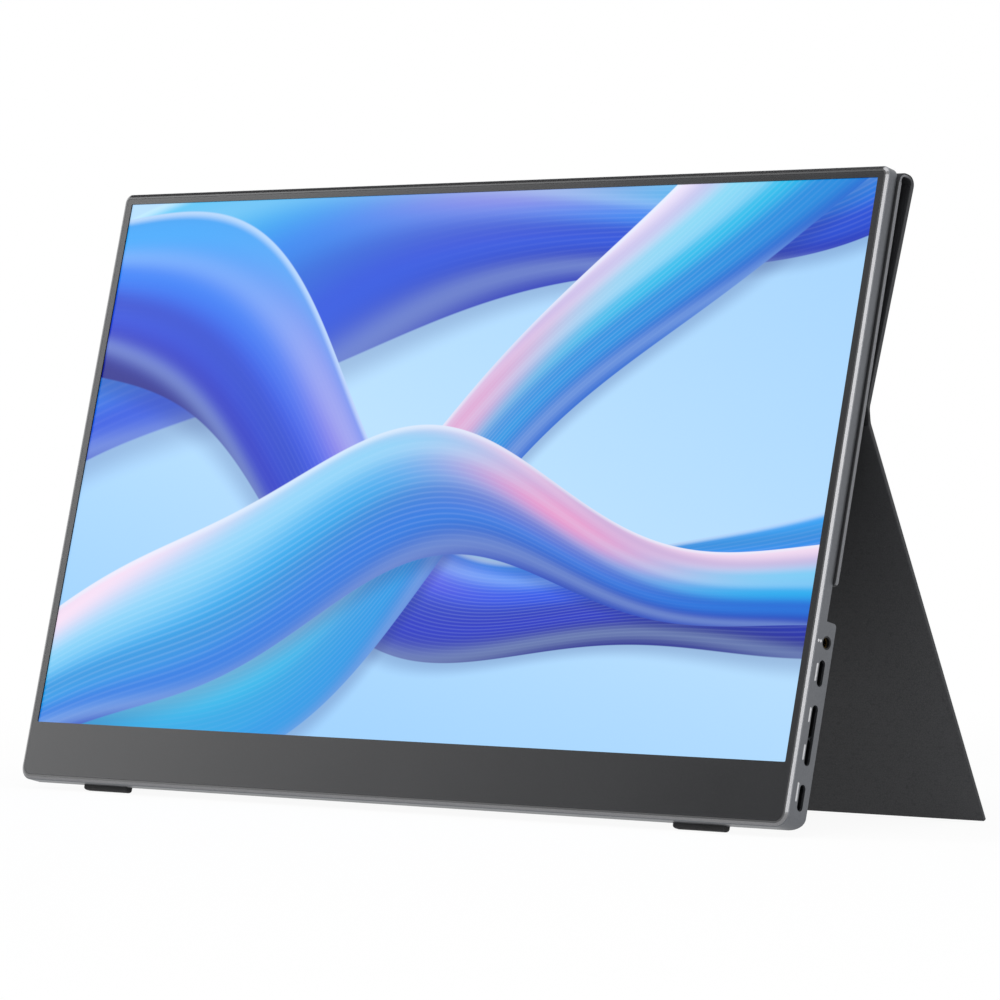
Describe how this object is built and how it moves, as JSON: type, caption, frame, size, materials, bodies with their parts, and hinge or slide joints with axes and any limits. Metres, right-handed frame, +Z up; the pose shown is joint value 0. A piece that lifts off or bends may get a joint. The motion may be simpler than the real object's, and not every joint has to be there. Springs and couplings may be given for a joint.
{
  "type": "portable monitor with cover",
  "caption": "Slim portable monitor propped on its fold-over cover, with side sockets, side buttons, rubber feet and a cover that folds over the screen.",
  "frame": {"origin": "middle of the floor under the standing monitor, at the centre of its outline", "axes": "+X to the right as seen from the front, along the width; +Y towards the back; +Z up from the floor"},
  "size_m": [0.3548, 0.1056, 0.2155],
  "materials": {
    "housing": "fine bead-blasted grey with a bright cut bevel",
    "bezel": "satin dark grey",
    "screen": "lit picture under an anti-glare coating",
    "light_guide": "clear sheet with white films",
    "light_bar": "white strip with lamps",
    "tray": "thin rolled steel",
    "circuit_board": "green solder mask",
    "chips": "black moulded",
    "ribbon": "amber film",
    "socket_shell": "drawn steel",
    "socket_core": "black moulded",
    "speaker": "black moulded",
    "leads": "red sleeve",
    "switches": "tinned",
    "buttons": "fine bead-blasted grey",
    "pin": "ground",
    "screws": "black",
    "feet": "matt black",
    "cover_skin": "fine-grained dark grey coated leather",
    "cover_board": "stiff grey board",
    "cover_lining": "dark microfibre",
    "magnets": "nickel-plated"
  },
  "bodies": {
    "monitor": {"rear_housing": "housing", "front_bezel": "bezel", "lcd_cell": "screen", "light_guide": "light_guide", "light_bar": "light_bar", "display_tray": "tray", "driver_board": "circuit_board", "driver_flexes": "ribbon", "display_cable": "ribbon", "main_board": "circuit_board", "board_chips": "chips", "usb_c_high": "socket_shell", "usb_c_middle": "socket_shell", "usb_c_low": "socket_shell", "mini_hdmi": "socket_shell", "socket_tongues": "socket_core", "audio_jack": "socket_core", "speaker_left": "speaker", "speaker_right": "speaker", "speaker_leads": "leads", "button_board": "circuit_board", "button_switches": "switches", "button_cable": "ribbon", "rocker_pin": "pin", "case_screws": "screws", "board_screws": "pin", "holding_plates": "tray", "foot_left": "feet", "foot_right": "feet"},
    "power_button": {"power_button": "buttons"},
    "menu_rocker": {"menu_rocker": "buttons"},
    "cover_back": {"cover_back_skin": "cover_skin", "cover_back_board": "cover_board", "cover_back_lining": "cover_lining", "cover_magnets": "magnets"},
    "cover_spine": {"cover_spine_skin": "cover_skin", "cover_spine_lining": "cover_lining"},
    "cover_flap": {"flap_skin": "cover_skin", "flap_board": "cover_board", "flap_lining": "cover_lining"},
    "cover_crease": {"crease_strip": "cover_skin"},
    "cover_leg": {"leg_skin": "cover_skin", "leg_board": "cover_board", "leg_lining": "cover_lining"}
  },
  "joints": [
    {"name": "cover_release", "type": "slide", "parent": "monitor", "child": "cover_back", "axis": [0, -0.97, 0.2432], "range_m": [-0.03, 0]},
    {"name": "spine_fold", "type": "hinge", "parent": "cover_back", "child": "cover_spine", "pos_m": [0, 0.00475, 0.21487], "axis": [1, 0, 0], "range_deg": [0, 179.5]},
    {"name": "flap_fold", "type": "hinge", "parent": "cover_spine", "child": "cover_flap", "pos_m": [0, 0.01309, 0.21278], "axis": [1, 0, 0], "range_deg": [0, 185]},
    {"name": "crease_fold", "type": "hinge", "parent": "cover_flap", "child": "cover_crease", "pos_m": [0, -0.01115, 0.13664], "axis": [-1, 0, 0], "range_deg": [0, 25]},
    {"name": "leg_fold", "type": "hinge", "parent": "cover_crease", "child": "cover_leg", "pos_m": [0, -0.01058, 0.13218], "axis": [-1, 0, 0], "range_deg": [-115, 18.39]},
    {"name": "power_press", "type": "slide", "parent": "monitor", "child": "power_button", "axis": [1, 0, 0], "range_m": [0, 0.0004], "stiffness_N_per_m": 1500},
    {"name": "menu_rock", "type": "hinge", "parent": "monitor", "child": "menu_rocker", "pos_m": [-0.17375, -0.04051, 0.03024], "axis": [0, 0.97, -0.2432], "range_deg": [-3, 3], "stiffness_Nm_per_rad": 0.3}
  ]
}
